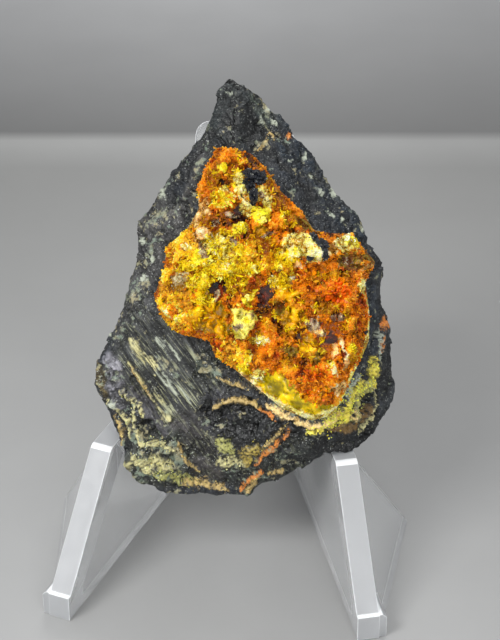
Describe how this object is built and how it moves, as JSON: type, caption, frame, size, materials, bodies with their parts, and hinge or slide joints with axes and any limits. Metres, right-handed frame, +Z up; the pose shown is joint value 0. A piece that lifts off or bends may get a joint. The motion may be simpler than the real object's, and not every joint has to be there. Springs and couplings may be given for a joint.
{
  "type": "masuyite and billietite specimen on a clear easel",
  "caption": "Dark uraninite fragment with an orange and yellow crust of uranium minerals, leaning on a clear moulded easel.",
  "frame": {"origin": "centre of the overall box on the surface that the easel stands on", "axes": "+Z up, -Y to the front where the crust faces, +X to the viewer's right"},
  "size_m": [0.0532, 0.0572, 0.0667],
  "materials": {
    "uraninite": "blue-black broken rock with a slickenside, pale green-yellow specks and streaks, and thin orange veins",
    "orange_crust": "orange to red tabular crystals with yellow and amber ones, cream crusts and dark knobs, glossy in places",
    "clear_acrylic": "colourless clear acrylic with slightly milky edges"
  },
  "bodies": {
    "root": {"uraninite_matrix": "uraninite", "masuyite_billietite_crust": "orange_crust", "clear_easel": "clear_acrylic"}
  },
  "joints": []
}
